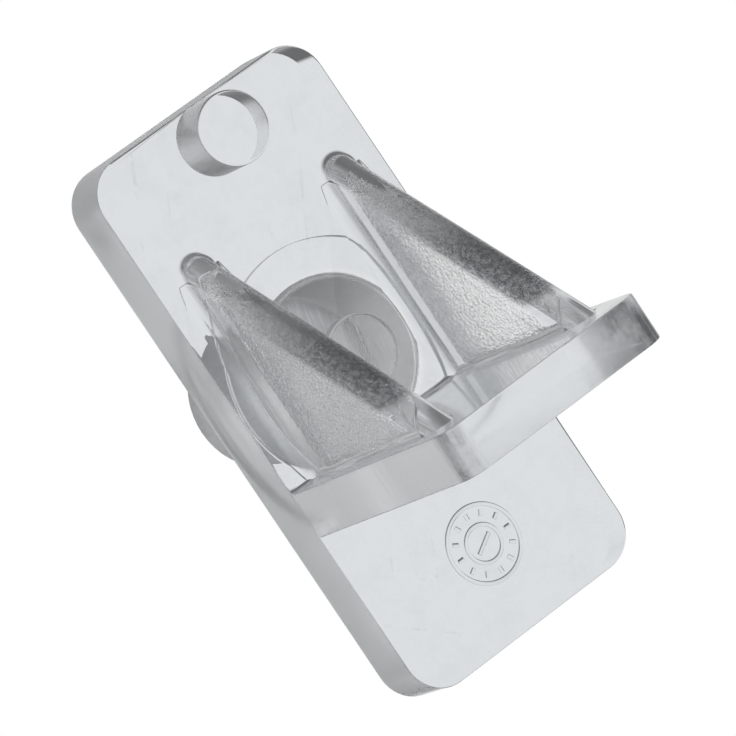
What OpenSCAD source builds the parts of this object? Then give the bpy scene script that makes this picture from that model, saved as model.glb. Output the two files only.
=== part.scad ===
// Shelf support pin, injection moulded in one piece from clear plastic.
// Millimetres. The origin is where the pin's axis meets the plate's back face.
// +Z is up in use, +Y points into the cabinet side, and the shelf lies on the -Y side.

/* [Plate] */
// Width of the backplate
plate_w = 11.2; // [10:0.1:16]
// Thickness of the backplate
plate_t = 2.7; // [2:0.1:4]
// Height of the plate's upper end above the pin's axis
plate_up = 12.7; // [10:0.1:18]
// Depth of the plate's lower end below the pin's axis
plate_down = 11.4; // [10.5:0.1:16]
// Radius of the plate's four corners
corner_r = 1.6; // [0.8:0.1:3]

/* [Ledge] */
// Height of the seat above the pin's axis
seat_h = 5.0; // [4.2:0.1:7]
// Thickness of the ledge
ledge_t = 2.0; // [1.6:0.1:3]
// How far the ledge stands out from the plate's front face
ledge_reach = 13.3; // [10:0.1:20]
// How far each side of the ledge draws in by its free edge
ledge_taper = 0.65; // [0.2:0.05:1]
// Radius of the ledge's two free corners
ledge_corner_r = 0.9; // [0.4:0.1:2]
// Fillet under the ledge, where it leaves the plate
ledge_fillet_r = 0.3; // [0.2:0.05:1]

/* [Gussets] */
// Distance from a side of the plate to the middle of the gusset nearest it
gusset_inset = 1.925; // [1.9:0.025:2.4]
// Thickness of a gusset, which is also the width of its round ridge
gusset_t = 1.25; // [0.9:0.05:1.6]
// Depth of a gusset's lower tip below the pin's axis
gusset_drop = 6.6; // [5:0.05:8]
// Height of the round tip's centre above the plate
tip_height = 0.22; // [0.1:0.02:0.38]
// Bare ledge left between the ridge's end and the free edge
ridge_setback = 2.0; // [0.8:0.1:4]
// Fillet between a gusset and the plate
root_fillet_r = 0.65; // [0.5:0.05:0.75]
// Fillet round the tip, where the ridge runs out into the plate
tip_fillet_r = 0.4; // [0.4:0.05:0.6]
// Distance above the tip's centre over which its fillet widens to the full one
fillet_run = 1.1; // [0.5:0.1:2]
// Fillet between a gusset and the ledge
web_fillet_r = 0.3; // [0.2:0.05:0.6]

/* [Pin] */
// Diameter of the pin
pin_d = 6.2; // [4.8:0.05:7.4]
// Length of the pin behind the plate
pin_len = 7.4; // [5:0.1:12]
// Rounding at the pin's free end
pin_lead_r = 0.6; // [0.2:0.1:1.2]
// Diameter of the shallow relief round the pin's root
relief_d = 9.6; // [8.6:0.1:10]
// Depth of that relief, a little more than the fillet at the pin's root
relief_depth = 0.45; // [0.15:0.05:0.6]
// Fillet at the pin's root, on the floor of the relief
pin_root_r = 0.4; // [0.1:0.05:0.5]

/* [Bosses] */
// Diameter of the two round bosses on the front face
boss_d = 3.0; // [2:0.1:4]
// Height of the lower boss, which is flush with the plate's lower end
foot_boss_h = 2.2; // [0.5:0.1:4]
// Height of the low boss opposite the pin
mid_boss_h = 0.7; // [0.3:0.05:1]
// Height of the low boss's centre above the pin's axis
mid_boss_z = 0.1; // [-0.5:0.05:0.5]
// Rounding at a boss's rim
boss_edge_r = 0.12; // [0.05:0.01:0.25]

/* [Hidden] */
$fn = 64;
clear_plastic = [0.86, 0.88, 0.89, 0.45];

// How far one volume runs into the next, so that they fuse
sink = 0.3;

front_y = -plate_t;
edge_y = front_y - ledge_reach;
under_z = seat_h - ledge_t;
ledge_tip_w = plate_w - 2 * ledge_taper;
gusset_x = plate_w / 2 - gusset_inset;
pin_r = pin_d / 2;
ridge_r = gusset_t / 2;

// A gusset's side view is drawn as [distance out from the front face, height].
// tip is the centre of its round tip, heel the point where its ridge meets the ledge.
tip = [tip_height, ridge_r - gusset_drop];
heel = [ledge_reach - ridge_setback, under_z];
ridge_run = heel - tip;
ridge_angle = atan2(ridge_run[1], ridge_run[0]) + asin(ridge_r / norm(ridge_run));
ridge_dir = [cos(ridge_angle), sin(ridge_angle)];

// The point at height z on the ridge's centre line
function on_ridge(z) = tip + (z - tip[1]) / ridge_dir[1] * ridge_dir;
ridge_len = norm(on_ridge(under_z + ridge_r) - tip);

// The tip's fillet is the path of a ball rolled round it on the plate, with the ball's
// centre tip_foot away from the tip's axis
tip_foot = sqrt(pow(ridge_r + tip_fillet_r, 2) - pow(tip_fillet_r - tip_height, 2));
root_foot = ridge_r + root_fillet_r;

// A square corner at the origin with its inside filled by a concave quarter round
module fillet_profile(r) {
    difference() {
        translate([-sink, -sink]) square(r + sink);
        translate([r, r]) circle(r);
    }
}

// Round bar of radius r and height h, rounded by e at its free end
module round_bar(r, h, e) {
    rotate_extrude() {
        square([r, h - e]);
        square([r - e, h]);
        intersection() {
            translate([r - e, h - e]) circle(e);
            square([r, h]);
        }
    }
}

// Stands its children on the front face at height z, pointing away from the plate
module on_front(z) {
    translate([0, front_y, z]) rotate([90, 0, 0]) children();
}

module plate_outline() {
    inner_w = plate_w - 2 * corner_r;
    translate([-inner_w / 2, -plate_down]) square([inner_w, plate_up + plate_down]);
    translate([-plate_w / 2, corner_r - plate_down])
        square([plate_w, plate_up + plate_down - 2 * corner_r]);
    for (x = [-inner_w / 2, inner_w / 2], z = [corner_r - plate_down, plate_up - corner_r])
        translate([x, z]) circle(corner_r);
}

// The plate, with the relief that lets it seat flat round a burred hole
module plate() {
    difference() {
        rotate([90, 0, 0]) linear_extrude(plate_t) plate_outline();
        translate([0, -relief_depth, 0]) rotate([-90, 0, 0])
            cylinder(d = relief_d, h = relief_depth + sink);
    }
}

// The ledge seen from above: it narrows to the free edge, whose corners are round
module ledge_outline() {
    side_angle = atan2(ledge_taper, ledge_reach);
    r = ledge_corner_r;
    centre = [ledge_tip_w / 2 + r * tan(side_angle) - r / cos(side_angle), edge_y + r];
    side_point = centre + r * [cos(side_angle), -sin(side_angle)];
    for (side = [-1, 1]) scale([side, 1]) {
        polygon([[0, edge_y], [centre[0], edge_y], side_point, [plate_w / 2, front_y],
                 [plate_w / 2, front_y + sink], [0, front_y + sink]]);
        translate(centre) circle(r);
    }
}

module ledge() {
    translate([0, 0, under_z]) linear_extrude(ledge_t) ledge_outline();
    // fillet under the root, no wider than the ledge
    intersection() {
        translate([0, front_y, under_z]) rotate([-90, 0, -90])
            linear_extrude(plate_w, center = true) fillet_profile(ledge_fillet_r);
        translate([0, 0, under_z - ledge_fillet_r])
            linear_extrude(ledge_fillet_r + sink) ledge_outline();
    }
}

// Turns a side view, drawn as [out, height], into a slab of thickness t at x = 0
module side_slab(t) {
    translate([0, front_y, 0]) rotate([90, 0, -90]) linear_extrude(t, center = true) children();
}

// The part of the side view that lies behind the ridge's centre line
module behind_ridge() {
    top = under_z + sink;
    polygon([tip, on_ridge(top), [-sink, top], [-sink, tip[1]]]);
}

// A round bar with a ball end, which runs up from the plate and into the ledge
module ridge() {
    on_front(tip[1]) translate([0, 0, tip[0]]) rotate([-ridge_angle, 0, 0]) rotate_extrude() {
        square([ridge_r, ridge_len]);
        intersection() {
            circle(ridge_r);
            translate([0, -ridge_r]) square(ridge_r);
        }
    }
}

module tip_fillet() {
    on_front(tip[1]) rotate_extrude() difference() {
        polygon([[0, -sink], [tip_foot, -sink], [tip_foot, tip_fillet_r], [0, tip_height]]);
        translate([tip_foot, tip_fillet_r]) circle(tip_fillet_r);
    }
}

// Seen from the front: the foot of the fillets down the plate, narrower at the tip
module root_outline() {
    polygon([[-tip_foot, tip[1]], [tip_foot, tip[1]], [root_foot, tip[1] + fillet_run],
             [root_foot, under_z + sink], [-root_foot, under_z + sink],
             [-root_foot, tip[1] + fillet_run]]);
}

module gusset() {
    side_slab(gusset_t) behind_ridge();
    ridge();
    tip_fillet();
    for (side = [-1, 1]) scale([side, 1, 1]) {
        // fillet down the plate
        intersection() {
            translate([ridge_r, front_y, tip[1]]) linear_extrude(under_z - tip[1] + sink)
                scale([1, -1]) fillet_profile(root_fillet_r);
            side_slab(4 * root_foot) behind_ridge();
            translate([0, front_y + sink, 0]) rotate([90, 0, 0])
                linear_extrude(root_fillet_r + 2 * sink) root_outline();
        }
        // fillet along the ledge, trimmed to the slope of the ridge
        intersection() {
            translate([ridge_r, front_y + sink, under_z]) rotate([90, 0, 0])
                linear_extrude(ledge_reach) scale([1, -1]) fillet_profile(web_fillet_r);
            side_slab(4 * root_foot) behind_ridge();
        }
    }
}

module pin() {
    translate([0, -relief_depth, 0]) rotate([-90, 0, 0]) {
        translate([0, 0, -sink]) cylinder(r = pin_r, h = sink + relief_depth);
        translate([0, 0, relief_depth]) round_bar(pin_r, pin_len, pin_lead_r);
        rotate_extrude() translate([pin_r, 0]) fillet_profile(pin_root_r);
    }
}

module bosses() {
    on_front(boss_d / 2 - plate_down) round_bar(boss_d / 2, foot_boss_h, boss_edge_r);
    on_front(mid_boss_z) round_bar(boss_d / 2, mid_boss_h, boss_edge_r);
}

module shelf_support() {
    color(clear_plastic) {
        plate();
        ledge();
        for (side = [-1, 1]) translate([side * gusset_x, 0, 0]) gusset();
        pin();
        bosses();
    }
}

shelf_support();
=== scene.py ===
import math

import bmesh
import bpy
from mathutils import Matrix, Vector


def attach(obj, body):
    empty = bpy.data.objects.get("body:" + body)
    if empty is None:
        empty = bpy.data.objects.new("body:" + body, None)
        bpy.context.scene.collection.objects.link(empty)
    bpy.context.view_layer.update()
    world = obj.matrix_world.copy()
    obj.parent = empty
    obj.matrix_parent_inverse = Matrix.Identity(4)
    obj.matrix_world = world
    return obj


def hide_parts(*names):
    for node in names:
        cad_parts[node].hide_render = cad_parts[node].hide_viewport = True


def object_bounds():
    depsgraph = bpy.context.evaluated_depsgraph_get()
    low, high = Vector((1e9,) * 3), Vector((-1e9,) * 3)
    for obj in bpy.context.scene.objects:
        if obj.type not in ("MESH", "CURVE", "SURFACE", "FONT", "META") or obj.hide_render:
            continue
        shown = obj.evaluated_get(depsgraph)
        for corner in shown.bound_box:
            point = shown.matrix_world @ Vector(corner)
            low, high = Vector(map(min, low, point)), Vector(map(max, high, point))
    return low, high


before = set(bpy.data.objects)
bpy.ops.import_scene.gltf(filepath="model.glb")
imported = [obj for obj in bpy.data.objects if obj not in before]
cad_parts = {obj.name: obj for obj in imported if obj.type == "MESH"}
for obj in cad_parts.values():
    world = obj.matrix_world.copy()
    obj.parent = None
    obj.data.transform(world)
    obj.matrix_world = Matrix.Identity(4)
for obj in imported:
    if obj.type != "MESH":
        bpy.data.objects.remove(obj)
cad_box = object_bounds()
scene = bpy.context.scene

# ---- Camera ----
# A long lens, close in, which looks at the front of the plate from one side and from
# a little below, and is turned over so that the pin side of the plate is the lower left.

CAMERA_DISTANCE = 0.300
LENS, SENSOR = 377.36, 36.0
azimuth, elevation, roll = (math.radians(a) for a in (24.554, -5.511, 146.192))
aim = Vector((-0.001291, 0.0, 0.001084))

away = Vector((math.sin(azimuth) * math.cos(elevation),
               -math.cos(azimuth) * math.cos(elevation),
               math.sin(elevation)))
level_right = Vector((math.cos(azimuth), math.sin(azimuth), 0.0))
level_up = away.cross(level_right)
right = math.cos(roll) * level_right + math.sin(roll) * level_up
up = away.cross(right)
bpy.ops.object.select_all(action="DESELECT")
bpy.ops.object.camera_add()
camera = bpy.context.object
camera.name = "camera"
camera.data.lens = LENS
camera.data.sensor_width = SENSOR
camera.data.clip_start = 0.01
camera.matrix_world = Matrix.Translation(aim + CAMERA_DISTANCE * away) @ Matrix(
    (right, up, away)).transposed().to_4x4()
scene.camera = camera

# ---- Moulding ----
# The whole support is one piece of clear plastic. Its flat faces are as true as the
# polished steel they were moulded on, its outer walls are satin, the gussets keep a
# grain, and the pin was turned.

plate_left, ledge_edge, _ = cad_box[0]
_, pin_tip, plate_top = cad_box[1]
PLATE_FRONT = -0.0027               # y of the plate's front; its back is at 0
reach = PLATE_FRONT - ledge_edge    # how far the ledge stands out
LEDGE_UNDER = 0.0030                # z of the ledge's underside
PIN_RADIUS, PIN_ROUNDING = 0.0031, 0.0006
RECESS_RADIUS, RECESS_DEPTH = 0.0048, 0.00045
BOSS_RADIUS, LOW_BOSS_HEIGHT = 0.0015, 0.0007
EDGE_RADIUS = 0.00008
SHARP_CORNER = math.radians(60)     # a convex edge that turns by more than this is eased

bpy.ops.object.select_all(action="DESELECT")
moulding = bpy.data.objects.new("clear_moulding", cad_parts["shelf_support"].data.copy())
scene.collection.objects.link(moulding)
moulding.select_set(True)
bpy.context.view_layer.objects.active = moulding
bpy.ops.object.mode_set(mode="EDIT")
bpy.ops.mesh.select_all(action="SELECT")
bpy.ops.mesh.remove_doubles(threshold=2e-6)
bpy.ops.mesh.dissolve_degenerate(threshold=2e-6)
bpy.ops.mesh.customdata_custom_splitnormals_clear()
bpy.ops.mesh.normals_make_consistent(inside=False)
bpy.ops.mesh.dissolve_limited(angle_limit=math.radians(0.4))

# its outer corners are eased, as on any moulding, but the mould closes on the plate's
# back edge and leaves it sharp
bpy.ops.mesh.select_all(action="DESELECT")
bpy.ops.mesh.select_mode(type="EDGE")
shell = bmesh.from_edit_mesh(moulding.data)
for edge in shell.edges:
    parting = all(v.co.y > -1e-5 and math.hypot(v.co.x, v.co.z) > RECESS_RADIUS + 0.0004
                  for v in edge.verts)
    edge.select = edge.is_convex and edge.calc_face_angle(0.0) > SHARP_CORNER and not parting
bmesh.update_edit_mesh(moulding.data)
bpy.ops.mesh.bevel(offset=EDGE_RADIUS, segments=2, affect="EDGES")
bpy.ops.object.mode_set(mode="OBJECT")

# a plain ring with twelve ticks and a pointer stands proud above the ledge, left by a
# dating insert in the mould; its strokes are round bars sunk into the plate's face
MARK_HEIGHT = 0.00895
STROKE_RADIUS, STROKE_SUNK = 0.00010, 0.00004
MARK_RINGS = ((0.00156, 96), (0.00076, 56))     # radius, and steps round it
TICKS, TICK_START, TICK_END = 12, 0.00108, 0.00134
POINTER_TURN, POINTER_HALF = math.radians(60), 0.00050

mark_at = Vector((0.0, PLATE_FRONT + STROKE_SUNK, MARK_HEIGHT))
strokes = []
for ring_radius, around in MARK_RINGS:
    bpy.ops.mesh.primitive_torus_add(
        location=mark_at, rotation=(math.pi / 2, 0.0, 0.0), major_radius=ring_radius,
        minor_radius=STROKE_RADIUS, major_segments=around, minor_segments=12)
    strokes.append(bpy.context.object)
bars = [(math.tau * i / TICKS, TICK_START, TICK_END) for i in range(TICKS)]
bars.append((POINTER_TURN, -POINTER_HALF, POINTER_HALF))
for turn, start, end in bars:
    middle = mark_at + (start + end) / 2 * Vector((math.sin(turn), 0.0, math.cos(turn)))
    bpy.ops.mesh.primitive_cylinder_add(
        vertices=12, radius=STROKE_RADIUS, depth=end - start, location=middle,
        rotation=(0.0, turn, 0.0))
    strokes.append(bpy.context.object)
bpy.ops.object.select_all(action="DESELECT")
for stroke in strokes:
    stroke.select_set(True)
bpy.context.view_layer.objects.active = strokes[0]
bpy.ops.object.join()
mould_mark = bpy.context.object
bpy.ops.object.select_all(action="DESELECT")
moulding.select_set(True)
bpy.context.view_layer.objects.active = moulding
union = moulding.modifiers.new("mark", "BOOLEAN")
union.operation = "UNION"
union.solver = "EXACT"
union.object = mould_mark
bpy.ops.object.modifier_apply(modifier="mark")
bpy.data.objects.remove(mould_mark)
bpy.ops.object.shade_smooth_by_angle(angle=math.radians(30))
weigh = moulding.modifiers.new("weigh", "WEIGHTED_NORMAL")
weigh.mode = "FACE_AREA"
weigh.keep_sharp = True

BENDS_LIGHT = 1.585                 # the clear plastic's refractive index
SOFT = 0.0001                       # over such a distance a finish starts or ends
RELIEF = 0.000045                   # height of the grain and of the turned streaks
clear = bpy.data.materials.new("clear_plastic")
clear.use_nodes = True
tree = clear.node_tree
shader = tree.nodes["Principled BSDF"]
shader.inputs["IOR"].default_value = BENDS_LIGHT
shader.inputs["Transmission Weight"].default_value = 1.0


def work_out(tree, operation, *inputs):
    """A Math node whose inputs are numbers or sockets."""
    node = tree.nodes.new("ShaderNodeMath")
    node.operation = operation
    for socket, value in zip(node.inputs, inputs):
        if isinstance(value, (int, float)):
            socket.default_value = value
        else:
            tree.links.new(value, socket)
    return node.outputs[0]


def fade(tree, value, low, high, start=0.0, end=1.0):
    """A smooth step from start at low to end at high."""
    node = tree.nodes.new("ShaderNodeMapRange")
    node.interpolation_type = "SMOOTHSTEP"
    tree.links.new(value, node.inputs["Value"])
    for name, number in (("From Min", low), ("From Max", high),
                         ("To Min", start), ("To Max", end)):
        node.inputs[name].default_value = number
    return node.outputs["Result"]


def where_all(tree, *masks):
    """The product of some masks."""
    result = masks[0]
    for mask in masks[1:]:
        result = work_out(tree, "MULTIPLY", result, mask)
    return result


def speckle(tree, vector, scale, detail=3.0, roughness=0.6, stretch=(1.0, 1.0, 1.0), turn=0.0):
    """A noise in the piece's own metres, stretched along its axes and turned about the pin."""
    mapping = tree.nodes.new("ShaderNodeMapping")
    mapping.vector_type = "TEXTURE"
    mapping.inputs["Rotation"].default_value = (0.0, turn, 0.0)
    mapping.inputs["Scale"].default_value = stretch
    tree.links.new(vector, mapping.inputs["Vector"])
    noise = tree.nodes.new("ShaderNodeTexNoise")
    noise.inputs["Scale"].default_value = scale
    noise.inputs["Detail"].default_value = detail
    noise.inputs["Roughness"].default_value = roughness
    tree.links.new(mapping.outputs["Vector"], noise.inputs["Vector"])
    return noise.outputs["Fac"]


def stain(tree, factor, under, over):
    """A colour that goes from under to over, by factor."""
    node = tree.nodes.new("ShaderNodeMix")
    node.data_type = "RGBA"
    tree.links.new(factor, node.inputs["Factor"])
    for socket, value in ((node.inputs[6], under), (node.inputs[7], over)):
        if isinstance(value, tuple):
            socket.default_value = value + (1.0,)
        else:
            tree.links.new(value, socket)
    return node.outputs[2]


# where a spot lies on the support, and which way its face looks
coords = tree.nodes.new("ShaderNodeTexCoord")
spot = coords.outputs["Object"]
place = tree.nodes.new("ShaderNodeSeparateXYZ")
tree.links.new(spot, place.inputs[0])
x, y, z = place.outputs
facing = tree.nodes.new("ShaderNodeSeparateXYZ")
tree.links.new(coords.outputs["Normal"], facing.inputs[0])
from_middle = work_out(tree, "ABSOLUTE", x)
face_x = work_out(tree, "ABSOLUTE", facing.outputs["X"])
face_y = work_out(tree, "ABSOLUTE", facing.outputs["Y"])
out = work_out(tree, "MULTIPLY_ADD", y, -1.0, PLATE_FRONT)      # out from the plate's front
on_plate = fade(tree, out, 0.8 * SOFT, 0.2 * SOFT)
off_plate = fade(tree, out, 0.2 * SOFT, 0.8 * SOFT)
wall = fade(tree, face_y, 0.5, 0.2)                             # walls square to the plate
at_ledge = fade(tree, z, LEDGE_UNDER - SOFT, LEDGE_UNDER + 0.5 * SOFT)
below_ledge = fade(tree, z, LEDGE_UNDER - SOFT, LEDGE_UNDER - 4 * SOFT)

# satin walls: three sides of the plate, the ledge's edges, and the bosses' sides
plate_wall = where_all(
    tree, wall, on_plate, fade(tree, x, plate_left + 4 * SOFT, plate_left + 12 * SOFT),
    fade(tree, z, plate_top - SOFT, plate_top - 9 * SOFT))
ledge_wall = where_all(tree, off_plate, at_ledge)
ledge_side = where_all(tree, ledge_wall, fade(tree, face_x, 0.8, 0.95))
boss_wall = where_all(
    tree, wall, fade(tree, from_middle, BOSS_RADIUS + 3 * SOFT, BOSS_RADIUS + SOFT), off_plate,
    fade(tree, z, LEDGE_UNDER - 2 * SOFT, LEDGE_UNDER - 4 * SOFT))

# streaks on the turned pin, and on the low boss opposite it
from_axis = work_out(tree, "MULTIPLY_ADD", x, x, work_out(tree, "MULTIPLY", z, z))
from_axis = work_out(tree, "SQRT", from_axis)
turned = where_all(
    tree, fade(tree, from_axis, PIN_RADIUS + 5 * SOFT, PIN_RADIUS + SOFT),
    fade(tree, y, -RECESS_DEPTH - 1.5 * SOFT, -RECESS_DEPTH - 0.5 * SOFT))
pin_end = fade(tree, y, pin_tip - PIN_ROUNDING, pin_tip - 2 * SOFT)
low_boss = where_all(
    tree, fade(tree, from_axis, BOSS_RADIUS + 2 * SOFT, BOSS_RADIUS + SOFT),
    fade(tree, out, LOW_BOSS_HEIGHT - 3 * SOFT, LOW_BOSS_HEIGHT - SOFT))
streaked = work_out(tree, "MAXIMUM", turned, low_boss)
streak = speckle(tree, spot, 9000.0, 2.0, 0.6, (1.0, 14.0, 18.0), math.radians(12))

# each ridge runs straight from its tip, by the plate, to its heel, under the ledge
GUSSET_INSIDE, GUSSET_OUTSIDE = 0.0030, 0.0043      # a gusset's sides, from the middle
FILLET_INSIDE, FILLET_OUTSIDE = 0.0025, 0.0049      # and the feet of its fillets
RIDGE_RADIUS, GUSSET_DROP, TIP_HEIGHT, RIDGE_SETBACK = 0.000625, 0.0066, 0.00022, 0.0020
tip_z = RIDGE_RADIUS - GUSSET_DROP
ridge_run = reach - RIDGE_SETBACK - TIP_HEIGHT
ridge_rise = LEDGE_UNDER - tip_z
ridge_angle = math.atan2(ridge_rise, ridge_run) + math.asin(
    RIDGE_RADIUS / math.hypot(ridge_run, ridge_rise))
ridge_offset = TIP_HEIGHT * math.sin(ridge_angle) - tip_z * math.cos(ridge_angle)
behind_ridge = work_out(tree, "MULTIPLY_ADD", z, math.cos(ridge_angle), ridge_offset)
behind_ridge = work_out(tree, "MULTIPLY_ADD", out, -math.sin(ridge_angle), behind_ridge)

# grain on the gussets, from a little above the plate to a little below the ledge
gusset = where_all(tree, fade(tree, from_middle, GUSSET_INSIDE - SOFT, GUSSET_INSIDE),
                   fade(tree, from_middle, GUSSET_OUTSIDE + SOFT, GUSSET_OUTSIDE), below_ledge)
below_heel = fade(tree, z, 0.0018, 0.0013)
uneven = speckle(tree, spot, 2600.0, 2.0)
uneven_out = work_out(tree, "MULTIPLY_ADD", uneven, 0.0006, out)
grained = where_all(
    tree, gusset, fade(tree, uneven_out, 0.00145, 0.00160), fade(tree, face_x, 0.0, 0.4),
    work_out(tree, "MAXIMUM", below_heel, fade(tree, behind_ridge, 0.0009, 0.0013)))
margin = where_all(
    tree, fade(tree, from_middle, FILLET_INSIDE - 2 * SOFT, FILLET_INSIDE),
    fade(tree, from_middle, FILLET_OUTSIDE + 2 * SOFT, FILLET_OUTSIDE), below_ledge,
    fade(tree, out, 0.2 * SOFT, SOFT), fade(tree, uneven_out, 0.00175, 0.00155),
    fade(tree, z, -0.0052, -0.0042))
grain = speckle(tree, spot, 10000.0, 1.0, 0.5, (1.0, 2.0, 1.0))
flake = speckle(tree, spot, 6500.0, 2.0, 0.7, (1.0, 2.0, 1.0))

# fine flow lines up the ledge's sides, and handling marks on the flat faces
flow = speckle(tree, spot, 6000.0, 3.0, 0.6, (1.0, 1.0, 18.0))
scuffs = speckle(tree, spot, 700.0, 8.0, 0.72)
flat = where_all(tree, fade(tree, face_y, 0.9, 0.98), fade(tree, scuffs, 0.48, 0.60))
long_marks = speckle(tree, spot, 2600.0, 1.0, 0.5, (1.0, 1.0, 30.0), 0.5)
short_marks = speckle(tree, spot, 2200.0, 1.0, 0.5, (1.0, 1.0, 24.0), -0.9)
scratches = work_out(tree, "MAXIMUM", fade(tree, long_marks, 0.70, 0.76),
                     fade(tree, short_marks, 0.70, 0.76))

# relief, as shares of one small height
height = work_out(tree, "MULTIPLY", grain, work_out(tree, "MULTIPLY", grained, 0.8))
for pattern, area, share in ((flow, ledge_side, 0.35), (streak, turned, 0.25),
                             (streak, low_boss, 0.2)):
    height = work_out(tree, "MULTIPLY_ADD", work_out(tree, "MULTIPLY", pattern, area),
                      share, height)
bump = tree.nodes.new("ShaderNodeBump")
bump.inputs["Distance"].default_value = RELIEF
tree.links.new(height, bump.inputs["Height"])
tree.links.new(bump.outputs["Normal"], shader.inputs["Normal"])

# polished all over, and rougher by so much in each place
POLISHED = 0.012
rough = work_out(tree, "MULTIPLY_ADD", plate_wall, 0.38, POLISHED)
for area, rougher in ((ledge_wall, 0.13), (ledge_side, fade(tree, x, -0.002, 0.002, -0.10, 0.14)),
                      (turned, 0.18), (pin_end, 0.55), (margin, 0.16), (boss_wall, 0.26)):
    rough = work_out(tree, "MULTIPLY_ADD", area, rougher, rough)
tree.links.new(rough, shader.inputs["Roughness"])

# the plastic's own tint, with its marks laid over it; paler on the gussets and the pin, which is
# painted light that brightens them beyond the plastic's own tint
PLASTIC, PALER_BY_PAINTED_LIGHT = (0.765, 0.79, 0.805), (0.99, 0.995, 1.0)
# the first of these greys is painted shade at the fillets' feet, and also the grey of the pin's
# streaks
FILLET_SHADE_AND_STREAK_GREY, SCRATCHED, SCUFFED = (0.45, 0.46, 0.48), (0.3, 0.31, 0.33), (0.45, 0.47, 0.49)
# painted shade along the ridges and at the pin's end, and a painted dark reflection at the
# ledge's corners
RIDGE_PAINTED_SHADE, END_PAINTED_SHADE, CORNER_PAINTED_REFLECTION = (0.05, 0.053, 0.06), (0.16, 0.17, 0.19), (0.15, 0.155, 0.17)
tint = stain(tree, work_out(tree, "MAXIMUM", grained, streaked), PLASTIC, PALER_BY_PAINTED_LIGHT)
# painted shade: the fillets at the gussets' feet are greyed a little, as a crease in shade is
tint = stain(tree, work_out(tree, "MULTIPLY", margin, 0.2), tint, FILLET_SHADE_AND_STREAK_GREY)
flecks = work_out(tree, "MULTIPLY", grained, fade(tree, flake, 0.60, 0.40))
tint = stain(tree, work_out(tree, "MULTIPLY", flecks, 0.1), tint, SCRATCHED)
tint = stain(tree, work_out(tree, "MULTIPLY", flat, 0.1), tint, SCUFFED)
scratched = where_all(tree, flat, scratches)
tint = stain(tree, work_out(tree, "MULTIPLY", scratched, 0.3), tint, SCRATCHED)

# painted shade: darker in a narrow band along each ridge, broken by flecks
ridge_painted_shade = where_all(
    tree, gusset, fade(tree, uneven_out, 0.0008, 0.0018), below_heel,
    fade(tree, behind_ridge, 0.0006, 0.0001), fade(tree, z, -0.0062, -0.0010),
    fade(tree, flake, 0.62, 0.42, 0.8, 1.0))
tint = stain(tree, ridge_painted_shade, tint, RIDGE_PAINTED_SHADE)

# painted shade at the pin's end, darkened and streaked as if in shadow, and grey streaks all
# along the pin
end_painted_shade = work_out(tree, "MULTIPLY", pin_end, fade(tree, streak, 0.60, 0.40, 0.62, 0.80))
tint = stain(tree, end_painted_shade, tint, END_PAINTED_SHADE)
streaks = where_all(tree, streaked, fade(tree, streak, 0.52, 0.42))
tint = stain(tree, work_out(tree, "MULTIPLY", streaks, 0.22), tint, FILLET_SHADE_AND_STREAK_GREY)

# painted dark reflection at the ledge's two free corners, mottled
corner_mottle = speckle(tree, spot, 900.0, 6.0, 0.7, (1.0, 1.0, 1.6))
corners = work_out(tree, "MAXIMUM", fade(tree, x, -0.0012, -0.0034, 0.0, 0.95),
                   fade(tree, x, 0.0040, 0.0046))
corner_painted_reflection = where_all(
    tree, fade(tree, out, reach - 13 * SOFT, reach - 7 * SOFT), at_ledge, corners,
    fade(tree, corner_mottle, 0.58, 0.40, 0.5, 1.0))
tint = stain(tree, corner_painted_reflection, tint, CORNER_PAINTED_REFLECTION)
tree.links.new(tint, shader.inputs["Base Color"])

moulding.data.materials.clear()
moulding.data.materials.append(clear)
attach(moulding, "root")
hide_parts("shelf_support")

# ---- Floor ----
# A plain pale floor, well below the support, which is held in the air. The camera sees
# it nearly white, but it sheds no more light for that, and the plastic doesn't show it.

FLOOR_WIDTH, FLOOR_DEPTH, FLOOR_GLOW = 1.6, -0.060, 0.58
bpy.ops.object.select_all(action="DESELECT")
bpy.ops.mesh.primitive_plane_add(size=FLOOR_WIDTH, location=(0.0, 0.0, FLOOR_DEPTH))
floor = bpy.context.object
floor.name = "floor"
pale = bpy.data.materials.new("pale_floor")
pale.use_nodes = True
tree = pale.node_tree
paint = tree.nodes["Principled BSDF"]
paint.inputs["Base Color"].default_value = (0.80, 0.80, 0.80, 1.0)
paint.inputs["Roughness"].default_value = 0.6
paint.inputs["Emission Color"].default_value = (1.0, 1.0, 1.0, 1.0)
seen = tree.nodes.new("ShaderNodeLightPath").outputs["Is Camera Ray"]
tree.links.new(work_out(tree, "MULTIPLY", seen, FLOOR_GLOW), paint.inputs["Emission Strength"])
floor.data.materials.append(pale)
floor.visible_glossy = False
floor.visible_transmission = False

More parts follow.
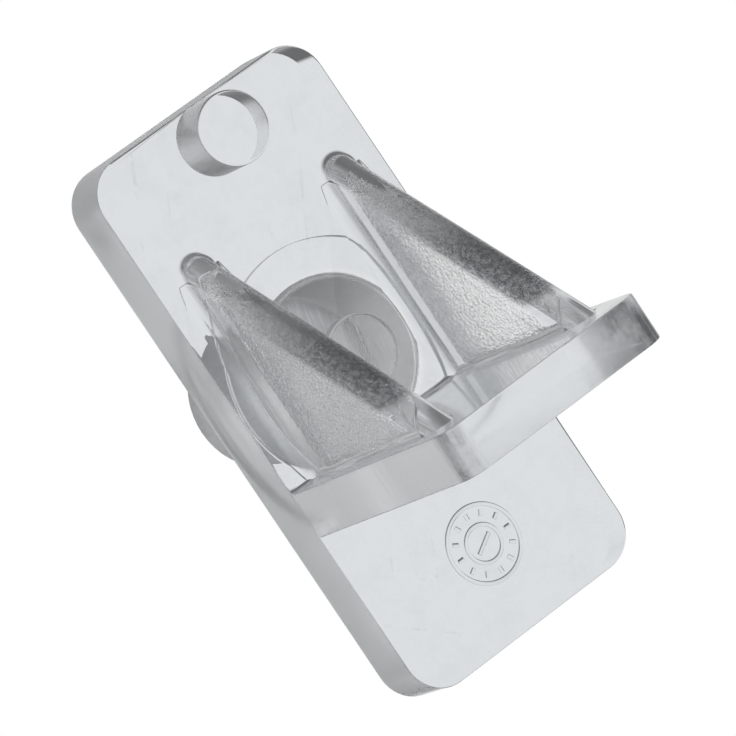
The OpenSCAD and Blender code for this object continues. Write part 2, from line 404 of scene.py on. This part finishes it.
# ---- Studio ----
# The room is mid grey. White card stands behind the support, up to a little above the
# horizon, with a dark gap in it, and it is dark above the card. The plastic shows these,
# and only the camera sees plain white.

ROOM, ROOM_ABOVE = 0.66, 0.45
CARD, CARD_BELOW, DARK_ABOVE, DARK_GAP = 0.95, 0.85, 0.14, 0.12
GAP_STARTS, GAP_ENDS = (-10, 0), (21, 17)       # bearings in degrees: faint, full
BOUNCES = 16                                    # enough for light to find its way out


def light_between(tree, factor, a, b):
    """A strength of light between a and b, by factor."""
    node = tree.nodes.new("ShaderNodeMix")
    for name, value in (("Factor", factor), ("A", a), ("B", b)):
        if isinstance(value, (int, float)):
            node.inputs[name].default_value = value
        else:
            tree.links.new(value, node.inputs[name])
    return node.outputs["Result"]


world = bpy.data.worlds.new("studio")
scene.world = world
world.use_nodes = True
tree = world.node_tree
direction = tree.nodes.new("ShaderNodeSeparateXYZ")
tree.links.new(tree.nodes.new("ShaderNodeTexCoord").outputs["Generated"], direction.inputs[0])
x, y, z = direction.outputs
bearing = work_out(tree, "ARCTAN2", x, y)
behind = fade(tree, y, 0.25, 0.6)
above = fade(tree, z, 0.22, 0.46)
gap = where_all(tree, fade(tree, bearing, *map(math.radians, GAP_STARTS)),
                fade(tree, bearing, *map(math.radians, GAP_ENDS)), fade(tree, z, -0.26, -0.12))
card = light_between(tree, fade(tree, z, -0.25, -0.6), CARD, CARD_BELOW)
card = light_between(tree, gap, card, DARK_GAP)
card = light_between(tree, above, card, DARK_ABOVE)
room = light_between(tree, above, ROOM, ROOM_ABOVE)
light = light_between(tree, behind, room, card)
seen = tree.nodes.new("ShaderNodeLightPath").outputs["Is Camera Ray"]
light = light_between(tree, seen, light, 1.0)
backdrop = tree.nodes["Background"]
backdrop.inputs["Color"].default_value = (1.0, 1.0, 1.0, 1.0)
tree.links.new(light, backdrop.inputs["Strength"])

scene.view_settings.view_transform = "Standard"
scene.cycles.max_bounces = BOUNCES
scene.cycles.glossy_bounces = BOUNCES
scene.cycles.transmission_bounces = BOUNCES
